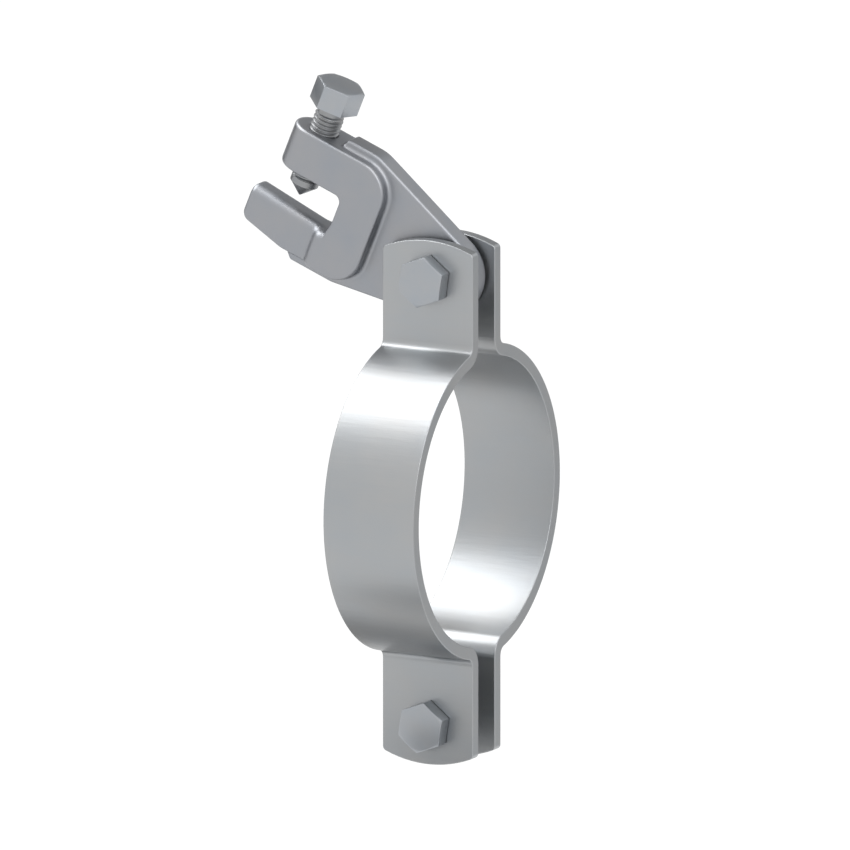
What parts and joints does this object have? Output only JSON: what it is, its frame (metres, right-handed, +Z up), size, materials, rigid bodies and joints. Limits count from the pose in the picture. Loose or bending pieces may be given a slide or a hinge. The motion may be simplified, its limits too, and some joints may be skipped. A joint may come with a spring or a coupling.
{
  "type": "beam c-clamp",
  "caption": "C-shaped beam clamp with a pointed set screw, pivoted on the ears of a two-piece flat-strap pipe ring closed by hexagon bolts.",
  "frame": {"origin": "centre of the pipe ring's bore, midway along the strap's width", "axes": "+X along the pipe, away from the beam jaw's mouth; +Y along the clamp bolts, from head to nut; +Z up, from the ring to the jaw"},
  "size_m": [0.1054, 0.126, 0.271],
  "materials": {
    "plated_casting": "malleable iron casting, smooth satin zinc plating",
    "plated_strap": "rolled steel strap, satin zinc plating",
    "plated_fastener": "bright zinc-plated steel"
  },
  "bodies": {
    "beam_clamp": {"beam_clamp_body": "plated_casting"},
    "jaw_screw": {"set_screw": "plated_fastener"},
    "front_half": {"front_half_band": "plated_strap", "pivot_bolt": "plated_fastener", "lower_bolt": "plated_fastener"},
    "rear_half": {"rear_half_band": "plated_strap"},
    "upper_nut_body": {"pivot_nut": "plated_fastener"},
    "lower_nut_body": {"lower_nut": "plated_fastener"}
  },
  "joints": [
    {"name": "screw_travel", "type": "slide", "parent": "beam_clamp", "child": "jaw_screw", "axis": [0.3746, 0, 0.9272], "range_m": [-0.0039, 0.011]},
    {"name": "ring_swivel", "type": "hinge", "parent": "beam_clamp", "child": "front_half", "pos_m": [0, 0, 0.09], "axis": [0, 1, 0], "range_deg": [-135, 30]},
    {"name": "rear_half_travel", "type": "slide", "parent": "front_half", "child": "rear_half", "axis": [0, 1, 0], "range_m": [-0.002, 0.008]},
    {"name": "upper_nut_turn", "type": "hinge", "parent": "rear_half", "child": "upper_nut_body", "pos_m": [0, 0.0174, 0.09], "axis": [0, 1, 0], "range_deg": [-412, 1646]},
    {"name": "lower_nut_turn", "type": "hinge", "parent": "rear_half", "child": "lower_nut_body", "pos_m": [0, 0.0174, -0.09], "axis": [0, 1, 0], "range_deg": [-412, 1646]}
  ],
  "couplings": [
    {"joint": "upper_nut_turn", "follows": "rear_half_travel", "rad_per_m": 3590.4},
    {"joint": "lower_nut_turn", "follows": "rear_half_travel", "rad_per_m": 3590.4}
  ]
}
